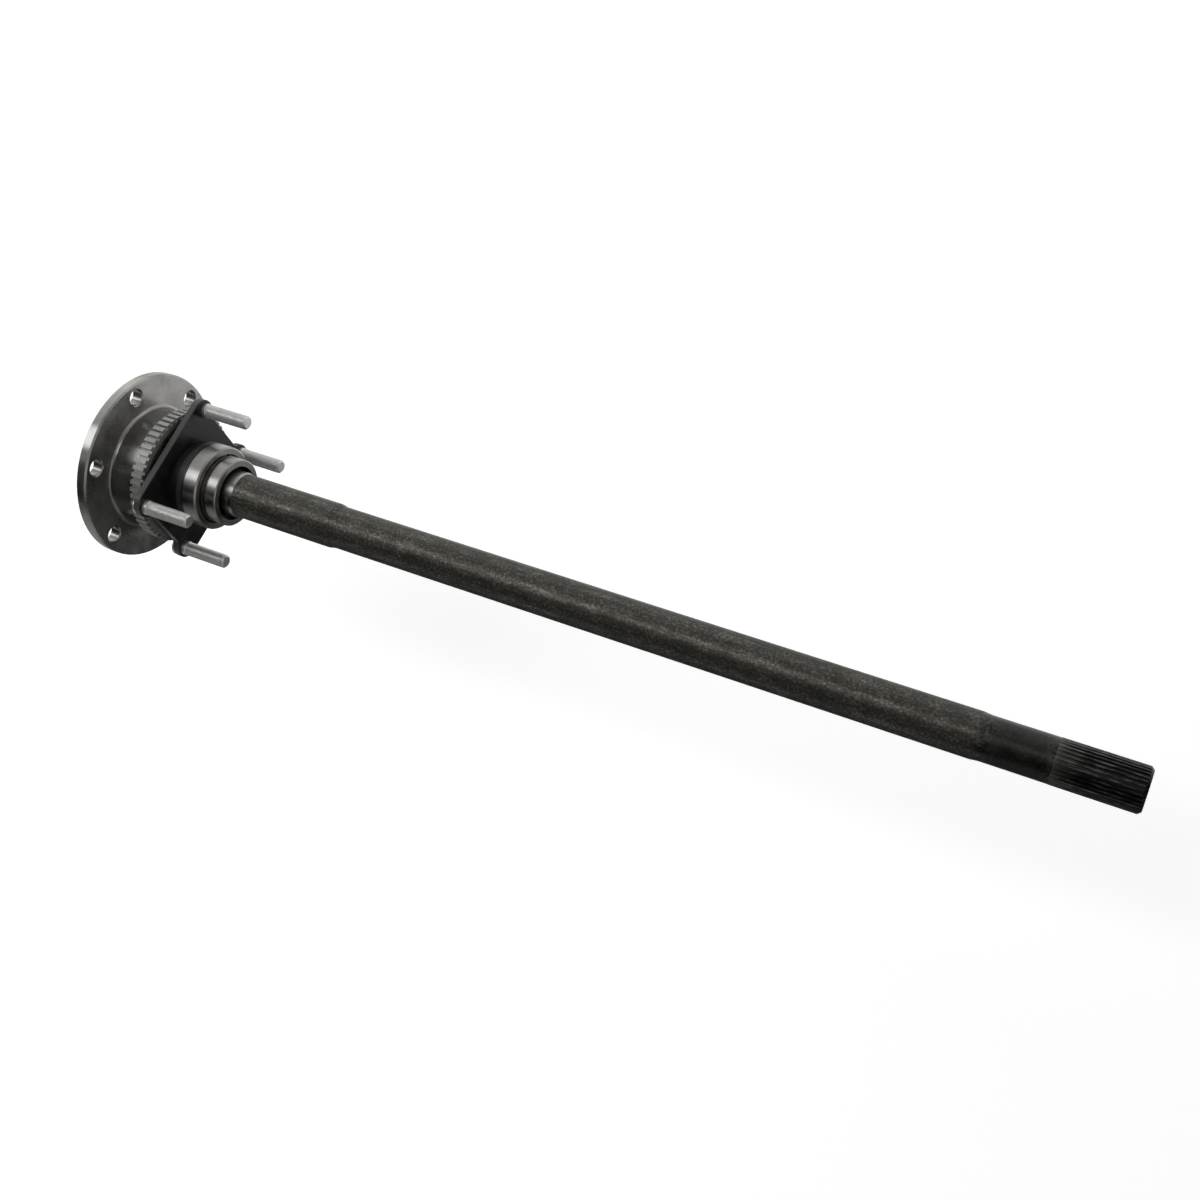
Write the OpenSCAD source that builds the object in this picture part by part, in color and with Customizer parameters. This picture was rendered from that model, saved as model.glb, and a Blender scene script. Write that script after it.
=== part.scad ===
// Rear axle shaft with wheel flange, toothed speed ring, bearing retainer,
// oil seal, unitised tapered roller bearing and pressed-on lock collar.
// X runs along the axle from the wheel face of the flange to the splined end.
// Y and Z follow the two sides of the retainer's stud rectangle.
// All sizes are in millimetres and degrees.

/* [Wheel flange] */
// Diameter of the wheel flange
flange_d = 164; // [150:1:190]
// Thickness of the wheel flange
flange_t = 10.2; // [8:0.2:14]
// Bevel on the rim of the flange
flange_bevel = 1.4; // [0.4:0.1:2.5]
// Distance from the rim of the flange to the middle of a wheel stud hole
hole_edge = 12.15; // [10:0.05:16]
// Diameter of each wheel stud hole
wheel_hole_d = 14.4; // [10:0.1:16]
// Number of wheel stud holes
wheel_hole_count = 6; // [4:1:8]
// Countersink on the inboard mouth of a wheel stud hole
hole_bevel = 0.8; // [0.2:0.1:1.2]
// Angle of the first wheel stud hole as the axle stands
wheel_hole_turn = 3.8; // [0:0.1:60]
// Diameter of the pilot that centres the wheel
pilot_d = 92; // [80:1:104]
// Height of the pilot above the wheel face
pilot_h = 12; // [6:0.5:16]
// Bevel on the pilot's rim
pilot_bevel = 2; // [0.5:0.1:3]
// Wall of the pilot at its rim, around the dish
pilot_wall = 11; // [6:0.5:16]
// Depth of the dish below the pilot's rim
dish_depth = 20; // [14:0.5:26]
// How much the dish narrows from its mouth to its floor, in radius
dish_taper = 4; // [1:0.5:8]

/* [Hub and speed ring] */
// Length of the hub from the flange to its inboard face
hub_len = 37.3; // [30:0.1:46]
// Radius of the fillet where the hub meets the flange
hub_fillet = 3; // [1:0.5:5]
// Diameter of the hub seat under the speed ring
ring_seat_d = 100; // [88:0.5:112]
// How far the hub barrel stands above the ring's seat
ring_shoulder = 2.5; // [1:0.1:4]
// Width of the speed ring along the axle
ring_w = 11; // [8:0.5:14]
// Height of the speed ring from its seat to its tooth tips
ring_h = 7.85; // [6:0.05:10]
// Number of teeth on the speed ring
ring_teeth = 56; // [40:1:64]
// Depth of the tooth gaps
tooth_h = 3; // [2:0.1:4]
// Width of each tooth gap
tooth_gap_w = 2.8; // [2:0.1:3.6]

/* [Retainer] */
// Stud spacing along Y
stud_span_y = 100; // [90:0.5:116]
// Stud spacing along Z
stud_span_z = 72; // [64:0.5:86]
// Thickness of the retainer plate
plate_t = 6; // [4.5:0.1:8]
// Free space between the speed ring and the stud heads
head_room = 1.1; // [0.8:0.1:2]
// Wall of an ear outside its stud
ear_wall = 1.9; // [1:0.1:4]
// How far a stud stands outside its ear's centre along Y
ear_inset = 4.7; // [2:0.1:6]
// How far the plate's waist stands outside the studs along Y
waist_out = 1; // [0:0.1:2]
// Fillet between waist and ear
waist_fillet = 4; // [3:0.5:6]
// Edge break on the plate
plate_bevel = 0.5; // [0.2:0.1:1]
// Thread diameter of the studs
stud_d = 12; // [10:0.5:14]
// Length of a stud above the plate
stud_len = 45; // [35:1:55]
// How far the pressed shank stands above the thread
shank_step = 0.4; // [0.2:0.1:1]
// Length of the plain shoulder above the plate
shoulder_len = 4; // [2:0.5:6]
// How far the stud head stands above the shank
head_step = 1.6; // [1:0.1:3]
// Height of the stud head behind the plate
stud_head_h = 3; // [2:0.1:4]
// Bevel on the stud head
head_bevel = 0.6; // [0.2:0.1:1]
// Bevel at the tip of a stud
stud_bevel = 1.5; // [0.5:0.1:2]

/* [Oil seal] */
// How much smaller the seal nose is than the bearing, in radius
nose_step = 3; // [2.4:0.1:4]
// Running room between nose and plate
nose_room = 0.3; // [0.2:0.05:0.6]
// How far the nose ends inside the plate's outboard face
nose_inset = 1; // [0.5:0.1:2]
// Wall of the pressed seal case
case_wall = 1.6; // [1:0.1:2]
// Thickness of the case's step in front of the cup
step_wall = 3.1; // [2:0.1:5]
// Height of the sealing beads around the case
bead_h = 0.4; // [0.2:0.05:0.6]
// Number of sealing beads around the case
bead_count = 3; // [1:1:3]
// How far the land under the seal lip stands above the journal
land_step = 4.15; // [3:0.05:5]
// Running room between lip and land
lip_room = 0.08; // [0.05:0.01:0.1]
// How far the rubber web stands inside the nose's mouth
web_inset = 1; // [0.5:0.1:2]
// Thickness of the rubber web
web_t = 2.4; // [1.5:0.1:3]
// Length of the seal lip
lip_len = 7.5; // [6:0.1:9]
// Wall of the seal lip
lip_wall = 2.2; // [1.6:0.1:2.6]
// How far the lip lifts off the land beside its crest
lip_relief = 0.8; // [0.3:0.1:1.2]
// Wire diameter of the garter spring's coil
spring_d = 1.6; // [1:0.1:2]
// How far the garter spring stands inside the lip's end
spring_inset = 1.6; // [1.2:0.1:2.4]

/* [Bearing] */
// Diameter of the axle journal in the bearing
journal_d = 39.7; // [36:0.1:44]
// Radial section of the bearing from its bore to its outside
bearing_section = 16.65; // [15.5:0.05:19]
// Length of the land from hub face to journal shoulder
land_len = 21; // [19:0.5:24]
// Width of the cone, the inner ring
cone_w = 22.5; // [21:0.1:26]
// Edge bevel on the cone
cone_bevel = 1; // [0.5:0.1:1.5]
// Width of the cup, the outer ring
cup_w = 18; // [16.5:0.1:19]
// How far the cone stands out past the cup inboard
cone_standout = 3.9; // [3:0.1:5]
// Length of the step on the cup that carries the seal case
step_len = 3.8; // [3:0.1:5]
// Depth of the step on the cup that carries the seal case
cup_step = 2.2; // [1.6:0.1:2.8]
// Edge bevel on the cup
cup_bevel = 1.3; // [0.5:0.1:1.6]
// Width of the rib at the cup's large end
cup_rib_w = 2.5; // [2:0.1:3.5]
// Height of the cup's rib below its race
cup_rib_h = 1.5; // [1:0.1:2]
// Height of the cup's race above the journal at its large end
race_h = 12.45; // [11.5:0.05:13.5]
// Half angle of the cup's race
cup_angle = 13; // [11.5:0.1:14.5]
// Height of the cone's large rib above its race
cone_rib_h = 2.55; // [2:0.05:3]
// Height of the cone's small rib above its race
small_rib_h = 0.9; // [0.5:0.1:1.2]
// Diameter of a roller at its large end
roller_d = 7.6; // [6.8:0.1:8.4]
// Length of a roller
roller_len = 12; // [10.5:0.1:13.5]
// Edge bevel on a roller
roller_bevel = 0.4; // [0.2:0.1:0.6]
// Number of rollers
roller_count = 18; // [14:1:19]
// Play between roller and race
race_play = 0.06; // [0.03:0.01:0.1]
// Play between roller ends and ribs
end_play = 0.15; // [0.1:0.05:0.3]
// Play around a roller in its cage window
window_play = 0.2; // [0.15:0.05:0.3]
// Wall of the cage
cage_wall = 1.1; // [0.8:0.1:1.4]
// Running room between the cage and the cone's large rib
cage_room = 0.3; // [0.2:0.05:0.6]
// How far the cage stands out past the cup inboard
cage_standout = 1.9; // [0.8:0.1:2.4]
// Width of the cage's rim beyond the small roller ends
cage_rim = 2.2; // [1.6:0.1:2.6]
// Thickness of the cage's inturned lip
cage_lip = 1.2; // [0.8:0.1:1.5]
// Running room between the cage's lip and the cone's small rib
cage_lip_room = 0.5; // [0.3:0.1:0.8]

/* [Lock collar] */
// Wall of the lock collar
collar_wall = 9.45; // [7:0.05:12]
// Width of the lock collar
collar_w = 11.1; // [9:0.1:14]
// Width of the relief around the journal in the collar's inboard face
relief_gap = 4; // [2.5:0.1:5]
// Depth of the relief in the collar's inboard face
relief_depth = 5; // [2:0.1:6]
// Edge bevel on the collar
collar_bevel = 0.9; // [0.3:0.1:1.5]

/* [Shaft and spline] */
// How far the journal reaches past the collar
journal_past = 6.2; // [3:0.1:8]
// Length of the journal's bright bevel beside the collar
journal_bevel = 2.3; // [1:0.1:4]
// How far the journal stands above the forged shaft
journal_step = 0.9; // [0.5:0.1:1.5]
// Length of the thick stretch from the collar
thick_len = 103; // [80:1:140]
// How far the thick stretch stands above the forged middle
middle_step = 1.2; // [0.5:0.1:2]
// Length of the forged middle of the shaft
middle_len = 545; // [300:1:700]
// Length of the turned neck before the spline
neck_len = 55; // [30:1:90]
// How far the spline stands above the neck
neck_drop = 0.15; // [0.1:0.05:0.6]
// Length of each ramp between two shaft diameters
ramp_len = 6; // [3:0.5:10]
// Outside diameter of the spline
spline_d = 34.4; // [31:0.1:36]
// Length of the spline
spline_len = 63; // [45:1:80]
// Number of spline teeth
spline_teeth = 32; // [24:1:36]
// Depth of the spline tooth gaps
spline_depth = 1.15; // [0.8:0.05:1.4]
// Length of the cutter run-out at the spline's start
runout_len = 9; // [5:0.5:14]
// Bevel at the splined end
end_bevel = 2.6; // [1.5:0.1:4]
// Mouth diameter of the lathe centres in both ends
centre_d = 9; // [6:0.5:12]
// Pilot drill diameter of the lathe centres
centre_drill_d = 3.2; // [2:0.1:5]

/* [Hidden] */
// Facets that stand for a full circle on screen
round_fn = 96;
// Facets that stand for the garter spring's wire on screen
wire_fn = 24;
// Overshoot that lets a cut pass cleanly through a face
cut = 0.5;
// Half angle of a lathe centre's cone
centre_angle = 30;
// Share of the spline's pitch that a tooth takes at its tip and at its root
tip_share = 0.34;
root_share = 0.66;

// Diameters of the flange and hub
bolt_circle_d = flange_d - 2 * hole_edge;
dish_d = pilot_d - 2 * pilot_wall;
hub_d = ring_seat_d + 2 * ring_shoulder;
ring_tip_d = ring_seat_d + 2 * ring_h;

// Diameters that follow the journal
land_d = journal_d + 2 * land_step;
bearing_od = journal_d + 2 * bearing_section;
cup_step_d = bearing_od - 2 * cup_step;
cup_race_d = journal_d + 2 * race_h;
cup_rib_d = cup_race_d - 2 * cup_rib_h;
nose_d = bearing_od - 2 * nose_step;
skirt_d = bearing_od - 2 * bead_h;
collar_d = journal_d + 2 * collar_wall;
relief_d = journal_d + 2 * relief_gap;
thick_d = journal_d - 2 * journal_step;
middle_d = thick_d - 2 * middle_step;
neck_d = spline_d - 2 * neck_drop;

// Diameters of a stud
shank_d = stud_d + 2 * shank_step;
stud_head_d = shank_d + 2 * head_step;

// Places along the axle, counted from the wheel face
hub_x = flange_t + hub_len;
ring_x = hub_x - ring_w;
plate_x = hub_x + head_room + stud_head_h;
plate_face_x = plate_x + plate_t;
stud_tip_x = plate_face_x + stud_len;
journal_x = hub_x + land_len;
cone_end_x = journal_x + cone_w;
cup_end_x = cone_end_x - cone_standout;
cup_x = cup_end_x - cup_w;
cup_land_x = cup_x + step_len;
nose_x = plate_x + nose_inset;
case_step_x = cup_x - step_wall;
skirt_end_x = cup_land_x - bead_h;
collar_end_x = cone_end_x + collar_w;
journal_end_x = collar_end_x + journal_past;
thick_end_x = collar_end_x + thick_len;
middle_end_x = thick_end_x + middle_len;
spline_x = middle_end_x + neck_len;
axle_end_x = spline_x + spline_len;

// Retainer outline, one quarter
stud_y = stud_span_y / 2;
stud_z = stud_span_z / 2;
ear_r = shank_d / 2 + ear_inset + ear_wall;
ear_y = stud_y - ear_inset;
side_z = stud_z + ear_r;
waist_y = stud_y + waist_out;
fillet_y = waist_y + waist_fillet;
fillet_z = stud_z - sqrt(pow(ear_r + waist_fillet, 2) - pow(fillet_y - ear_y, 2));

// Taper geometry: both races and the rollers share one apex on the axis
race_end_x = cup_end_x - cup_rib_w;
apex_x = race_end_x - cup_race_d / 2 / tan(cup_angle);
race_reach = cup_race_d / 2 / sin(cup_angle);
roller_angle = asin(roller_d / 2 / race_reach);
tilt = cup_angle - roller_angle;
cone_angle = tilt - roller_angle;
roller_far = race_reach * cos(roller_angle);
roller_near = roller_far - roller_len;
near_reach = roller_near / cos(roller_angle);
roller_step = 360 / roller_count;

// Ribs that guide the roller ends
cup_rib_x = race_end_x + cup_rib_h * tan(tilt) + end_play;
cone_rib_x = apex_x + race_reach * cos(cone_angle) + end_play;
cone_rib_r = race_reach * sin(cone_angle) + cone_rib_h;
small_rib_x = apex_x + near_reach * cos(cone_angle) - small_rib_h * tan(tilt) - end_play;
small_rib_r = near_reach * sin(cone_angle) + small_rib_h;

// Cage between the races, tapered about the same apex and clear of the cone's large rib
cage_end_x = cup_end_x + cage_standout;
cage_x = apex_x + near_reach * cos(cup_angle) - cage_rim;
cage_angle = atan((cone_rib_r + cage_room + cage_wall / 2) / (cone_rib_x - apex_x));
cage_lip_r = small_rib_r + cage_lip_room;

// Seal lip: a web in the nose carries a lip that points inboard, towards the oil
web_x = nose_x + web_inset;
web_r = nose_d / 2 - case_wall;
lip_end_x = web_x + lip_len;
lip_r = land_d / 2 + lip_room;
spring_r = lip_r + lip_wall;
spring_x = lip_end_x - spring_inset;
bead_pitch = (skirt_end_x - case_step_x) / (bead_count + 1);

function roller_name(i) = str("roller_", i < 10 ? "0" : "", i);

// Profile points given as [place along X, radius], as the lathe's section wants them
function section(profile) = [for (p = profile) [p[1], p[0]]];

// Turns the section drawn by its children about the axle
module lathe() {
    rotate([0, 90, 0])
        rotate_extrude($fn = round_fn)
            children();
}

// A solid of revolution about the axle from [place along X, radius] points
module revolve(profile) {
    lathe()
        polygon(section(profile));
}

// A round bar along X
module bar(x, length, d) {
    translate([x, 0, 0])
        rotate([0, 90, 0])
            cylinder(h = length, d = d, $fn = round_fn);
}

// A lathe centre bored into an end face, with its point towards +X
module lathe_centre(x) {
    cone_depth = (centre_d - centre_drill_d) / 2 / tan(centre_angle);
    revolve([
        [x - cut, 0],
        [x - cut, centre_d / 2 + cut * tan(centre_angle)],
        [x + cone_depth, centre_drill_d / 2],
        [x + cone_depth + centre_drill_d, centre_drill_d / 2],
        [x + cone_depth + centre_drill_d, 0]
    ]);
}

// A wheel stud hole with its inboard mouth countersunk
module wheel_hole() {
    translate([0, bolt_circle_d / 2, 0]) {
        bar(-cut, flange_t + hub_fillet + 2 * cut, wheel_hole_d);
        revolve([
            [flange_t + cut, 0],
            [flange_t + cut, wheel_hole_d / 2 + hole_bevel + cut],
            [flange_t - hole_bevel, wheel_hole_d / 2],
            [flange_t - hole_bevel, 0]
        ]);
    }
}

// Flange, hub, land, journal and plain shaft as one turned forging
module turned_blank() {
    fillet_x = flange_t + hub_fillet;
    fillet_r = hub_d / 2 + hub_fillet;
    lathe()
        difference() {
            polygon(section([
                [dish_depth - pilot_h, 0],
                [dish_depth - pilot_h, dish_d / 2 - dish_taper],
                [-pilot_h, dish_d / 2],
                [-pilot_h, pilot_d / 2 - pilot_bevel],
                [pilot_bevel - pilot_h, pilot_d / 2],
                [0, pilot_d / 2],
                [0, flange_d / 2 - flange_bevel],
                [flange_bevel, flange_d / 2],
                [flange_t - flange_bevel, flange_d / 2],
                [flange_t, flange_d / 2 - flange_bevel],
                [flange_t, fillet_r],
                [fillet_x, fillet_r],
                [fillet_x, hub_d / 2],
                [ring_x, hub_d / 2],
                [ring_x, ring_seat_d / 2],
                [hub_x, ring_seat_d / 2],
                [hub_x, land_d / 2],
                [journal_x, land_d / 2],
                [journal_x, journal_d / 2],
                [journal_end_x, journal_d / 2],
                [journal_end_x + journal_bevel, thick_d / 2],
                [thick_end_x, thick_d / 2],
                [thick_end_x + ramp_len, middle_d / 2],
                [middle_end_x, middle_d / 2],
                [middle_end_x + ramp_len, neck_d / 2],
                [spline_x, neck_d / 2],
                [spline_x + runout_len, spline_d / 2 - spline_depth],
                [spline_x + runout_len, 0]
            ]));
            translate([fillet_r, fillet_x])
                circle(r = hub_fillet, $fn = round_fn);
        }
}

// Straight-flanked spline teeth with a turned bevel at the end
module spline() {
    pitch = 360 / spline_teeth;
    tip_half = pitch * tip_share / 2;
    root_half = pitch * root_share / 2;
    tip_r = spline_d / 2;
    root_r = tip_r - spline_depth;
    outline = [
        for (i = [0:spline_teeth - 1])
            for (p = [[-root_half, root_r], [-tip_half, tip_r], [tip_half, tip_r], [root_half, root_r]])
                let (a = i * pitch + p[0])
                [p[1] * cos(a), p[1] * sin(a)]
    ];
    intersection() {
        translate([spline_x, 0, 0])
            rotate([0, 90, 0])
                linear_extrude(height = spline_len)
                    polygon(outline);
        revolve([
            [spline_x - cut, 0],
            [spline_x - cut, tip_r + cut],
            [axle_end_x - end_bevel - cut, tip_r + cut],
            [axle_end_x + cut, tip_r - end_bevel],
            [axle_end_x + cut, 0]
        ]);
    }
}

module axle_shaft() {
    color("#4a4a46")
    difference() {
        union() {
            turned_blank();
            spline();
        }
        for (i = [0:wheel_hole_count - 1])
            rotate([wheel_hole_turn + i * 360 / wheel_hole_count, 0, 0])
                wheel_hole();
        lathe_centre(dish_depth - pilot_h);
        translate([axle_end_x, 0, 0])
            mirror([1, 0, 0])
                lathe_centre(0);
    }
}

module speed_ring() {
    pitch = 360 / ring_teeth;
    root_r = ring_tip_d / 2 - tooth_h;
    color("#a3a3a0")
    difference() {
        revolve([
            [ring_x, ring_seat_d / 2],
            [ring_x, ring_tip_d / 2],
            [hub_x, ring_tip_d / 2],
            [hub_x, ring_seat_d / 2]
        ]);
        for (i = [0:ring_teeth - 1])
            rotate([pitch / 2 + i * pitch, 0, 0])
                translate([ring_x - cut, root_r, -tooth_gap_w / 2])
                    cube([ring_w + 2 * cut, tooth_h + cut, tooth_gap_w]);
    }
}

// Half width and thickness of a slab with both edges broken, as a section
function slab_section(half) = [
    [plate_x, half - plate_bevel],
    [plate_x + plate_bevel, half],
    [plate_face_x - plate_bevel, half],
    [plate_face_x, half - plate_bevel],
    [plate_face_x, plate_bevel - half],
    [plate_face_x - plate_bevel, -half],
    [plate_x + plate_bevel, -half],
    [plate_x, plate_bevel - half]
];

module ear() {
    translate([0, ear_y, stud_z])
        revolve([
            [plate_x, 0],
            [plate_x, ear_r - plate_bevel],
            [plate_x + plate_bevel, ear_r],
            [plate_face_x - plate_bevel, ear_r],
            [plate_face_x, ear_r - plate_bevel],
            [plate_face_x, 0]
        ]);
}

// The hollow blend from the plate's waist into one ear
module ear_blend() {
    difference() {
        translate([plate_x, 0, 0])
            rotate([90, 0, 90])
                linear_extrude(height = plate_t)
                    polygon([[waist_y, fillet_z], [fillet_y, fillet_z], [ear_y, stud_z]]);
        translate([0, fillet_y, fillet_z])
            bar(plate_x - cut, plate_t + 2 * cut, 2 * waist_fillet);
    }
}

module retainer_plate() {
    color("#1d1d1f")
    difference() {
        union() {
            translate([0, ear_y, 0])
                rotate([90, 0, 0])
                    linear_extrude(height = 2 * ear_y)
                        polygon(slab_section(side_z));
            translate([0, 0, -stud_z])
                linear_extrude(height = 2 * stud_z)
                    polygon(slab_section(waist_y));
            for (y = [0, 1])
                for (z = [0, 1])
                    mirror([0, y, 0])
                        mirror([0, 0, z]) {
                            ear();
                            ear_blend();
                        }
        }
        bar(plate_x - cut, plate_t + 2 * cut, nose_d + 2 * nose_room);
        for (y = [-stud_y, stud_y])
            for (z = [-stud_z, stud_z])
                translate([0, y, z])
                    bar(plate_x - cut, plate_t + 2 * cut, shank_d);
    }
}

module retainer_studs() {
    color("#8f8f8b")
    for (y = [-stud_y, stud_y])
        for (z = [-stud_z, stud_z])
            translate([0, y, z])
                revolve([
                    [plate_x - stud_head_h, 0],
                    [plate_x - stud_head_h, stud_head_d / 2 - head_bevel],
                    [plate_x - stud_head_h + head_bevel, stud_head_d / 2],
                    [plate_x, stud_head_d / 2],
                    [plate_x, shank_d / 2],
                    [plate_face_x + shoulder_len, shank_d / 2],
                    [plate_face_x + shoulder_len, stud_d / 2],
                    [stud_tip_x - stud_bevel, stud_d / 2],
                    [stud_tip_x, stud_d / 2 - stud_bevel],
                    [stud_tip_x, 0]
                ]);
}

module seal_case() {
    color("#141415")
    union() {
        revolve([
            [nose_x, web_r],
            [nose_x, nose_d / 2],
            [case_step_x, nose_d / 2],
            [case_step_x, skirt_d / 2],
            [skirt_end_x, skirt_d / 2],
            [skirt_end_x, cup_step_d / 2],
            [cup_x, cup_step_d / 2],
            [cup_x, web_r]
        ]);
        for (i = [1:bead_count])
            revolve([
                [case_step_x + i * bead_pitch - bead_h, skirt_d / 2 - bead_h],
                [case_step_x + i * bead_pitch - bead_h, skirt_d / 2],
                [case_step_x + i * bead_pitch, skirt_d / 2 + bead_h],
                [case_step_x + i * bead_pitch + bead_h, skirt_d / 2],
                [case_step_x + i * bead_pitch + bead_h, skirt_d / 2 - bead_h]
            ]);
    }
}

// Rubber web and lip; only the lip's crest under the spring runs on the axle's land
module seal_lip() {
    color("#1a1a1a")
    difference() {
        revolve([
            [web_x, web_r],
            [web_x + web_t, web_r],
            [web_x + web_t, lip_r + lip_wall],
            [lip_end_x, lip_r + lip_wall],
            [lip_end_x, lip_r + lip_relief],
            [spring_x, lip_r],
            [web_x, lip_r + lip_relief]
        ]);
        garter_ring();
    }
}

// The garter spring's coil as a plain ring around the lip
module garter_ring() {
    lathe()
        translate([spring_r, spring_x])
            circle(d = spring_d, $fn = wire_fn);
}

module garter_spring() {
    color("#b0b0ad")
    garter_ring();
}

module bearing_cup() {
    cup_r = bearing_od / 2;
    color("#b9b9b6")
    revolve([
        [cup_x, (cup_x - apex_x) * tan(cup_angle)],
        [cup_x, cup_step_d / 2],
        [cup_land_x, cup_step_d / 2],
        [cup_land_x, cup_r - cup_bevel / 2],
        [cup_land_x + cup_bevel / 2, cup_r],
        [cup_end_x - cup_bevel, cup_r],
        [cup_end_x, cup_r - cup_bevel],
        [cup_end_x, cup_rib_d / 2],
        [cup_rib_x, cup_rib_d / 2],
        [cup_rib_x, (cup_rib_x - apex_x) * tan(cup_angle)]
    ]);
}

module bearing_cone() {
    color("#c0c0bd")
    revolve([
        [journal_x, journal_d / 2],
        [journal_x, small_rib_r - cone_bevel],
        [journal_x + cone_bevel, small_rib_r],
        [small_rib_x, small_rib_r],
        [small_rib_x, (small_rib_x - apex_x) * tan(cone_angle)],
        [cone_rib_x, (cone_rib_x - apex_x) * tan(cone_angle)],
        [cone_rib_x, cone_rib_r],
        [cone_end_x - cone_bevel, cone_rib_r],
        [cone_end_x, cone_rib_r - cone_bevel],
        [cone_end_x, journal_d / 2]
    ]);
}

// One tapered roller at +Y, larger or longer by the given play
module roller_blank(play, end) {
    near_r = roller_near * tan(roller_angle) + play;
    far_r = roller_far * tan(roller_angle) + play;
    translate([apex_x, 0, 0])
        rotate([0, 0, tilt])
            revolve([
                [roller_near - end, 0],
                [roller_near - end, near_r - roller_bevel],
                [roller_near - end + roller_bevel, near_r],
                [roller_far + end - roller_bevel, far_r],
                [roller_far + end, far_r - roller_bevel],
                [roller_far + end, 0]
            ]);
}

module roller(i) {
    color("#c8c8c5")
    rotate([(i - 1) * roller_step, 0, 0])
        roller_blank(-race_play, 0);
}

// Pressed conical cage with one window for each roller
module bearing_cage() {
    function middle(x) = (x - apex_x) * tan(cage_angle);
    half = cage_wall / 2;
    color("#9a9a96")
    difference() {
        revolve([
            [cage_x, cage_lip_r],
            [cage_x, middle(cage_x) + half],
            [cage_end_x, middle(cage_end_x) + half],
            [cage_end_x, middle(cage_end_x) - half],
            [cage_x + cage_lip, middle(cage_x + cage_lip) - half],
            [cage_x + cage_lip, cage_lip_r]
        ]);
        for (i = [0:roller_count - 1])
            rotate([i * roller_step, 0, 0])
                roller_blank(window_play, window_play);
    }
}

module lock_collar() {
    color("#bdbdba")
    revolve([
        [cone_end_x, journal_d / 2],
        [cone_end_x, collar_d / 2 - collar_bevel],
        [cone_end_x + collar_bevel, collar_d / 2],
        [collar_end_x - collar_bevel, collar_d / 2],
        [collar_end_x, collar_d / 2 - collar_bevel],
        [collar_end_x, relief_d / 2],
        [collar_end_x - relief_depth, relief_d / 2],
        [collar_end_x - relief_depth, journal_d / 2]
    ]);
}

axle_shaft();
speed_ring();
retainer_plate();
retainer_studs();
seal_case();
seal_lip();
garter_spring();
bearing_cup();
bearing_cone();
bearing_cage();
lock_collar();
for (i = [1:roller_count])
    roller(i);
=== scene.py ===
import math
from typing import NamedTuple

import bmesh
import bpy
from bpy.props import FloatProperty, FloatVectorProperty, IntProperty, PointerProperty
from bpy.types import Operator, Panel, PropertyGroup
from mathutils import Matrix, Vector


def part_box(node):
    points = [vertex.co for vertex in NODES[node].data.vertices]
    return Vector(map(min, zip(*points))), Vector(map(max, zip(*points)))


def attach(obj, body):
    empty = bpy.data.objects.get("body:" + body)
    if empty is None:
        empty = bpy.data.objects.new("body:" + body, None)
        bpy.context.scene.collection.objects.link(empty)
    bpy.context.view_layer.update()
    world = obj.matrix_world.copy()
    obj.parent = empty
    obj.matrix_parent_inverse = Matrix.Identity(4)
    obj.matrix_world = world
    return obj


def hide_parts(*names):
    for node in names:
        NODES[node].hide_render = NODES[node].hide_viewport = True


bl_info = {
    "name": "Rear axle shaft looks",
    "version": (1, 0, 0),
    "blender": (4, 5, 0),
    "location": "View3D > Sidebar > Axle",
    "description": "Finishes, stud threads and studio for a rear axle shaft",
    "category": "Object",
}

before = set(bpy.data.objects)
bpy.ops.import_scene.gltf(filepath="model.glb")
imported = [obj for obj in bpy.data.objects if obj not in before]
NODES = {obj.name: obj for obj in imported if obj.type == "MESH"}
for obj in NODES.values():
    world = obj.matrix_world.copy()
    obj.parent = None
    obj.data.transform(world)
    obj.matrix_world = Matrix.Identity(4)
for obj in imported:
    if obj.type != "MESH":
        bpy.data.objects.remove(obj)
bpy.context.view_layer.update()
MM = 0.001

# Points closer than this become one
MERGE = 0.001 * MM

# A face looks along X when this share of its normal does, and is a round wall below the lower one
FACING = 0.9
WALL = 0.5

# Depth of a metric thread as a share of its pitch
THREAD_DEPTH = 0.5413

# Grain of the forge scale, which the neck's smudges share
SCALE_GRAIN = 1.9 * MM

# Where each finish of the axle begins and ends along X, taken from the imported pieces
RING_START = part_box("speed_ring")[0].x
JOURNAL_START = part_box("bearing_cone")[0].x
COLLAR_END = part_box("lock_collar")[1].x
STUD_LOW, STUD_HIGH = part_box("retainer_studs")
PLATE_LOW, PLATE_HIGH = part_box("retainer_plate")


def linear(hex_code):
    """Turn an sRGB hex value into linear red, green and blue."""
    parts = [int(hex_code[start : start + 2], 16) / 255 for start in (1, 3, 5)]
    return [p / 12.92 if p <= 0.04045 else ((p + 0.055) / 1.055) ** 2.4 for p in parts]


def opaque(colour):
    """Give a colour property the fourth number that a colour socket takes."""
    return (*colour, 1.0)


def put(tree, kind, sockets=None, **settings):
    """Add a node with its settings, its socket values and its links."""
    node = tree.nodes.new(kind)
    for name, value in settings.items():
        setattr(node, name, value)
    for key, value in (sockets or {}).items():
        if isinstance(value, bpy.types.NodeSocket):
            tree.links.new(value, node.inputs[key])
        else:
            node.inputs[key].default_value = value
    return node


def start_material(name):
    """Make an empty node material and return it with its node tree."""
    material = bpy.data.materials.new(name)
    material.use_nodes = True
    material.node_tree.nodes.clear()
    return material, material.node_tree


def wear(obj, *materials):
    """Put the finishes on a piece in place of what it carried."""
    obj.data.materials.clear()
    for material in materials:
        obj.data.materials.append(material)


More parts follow.
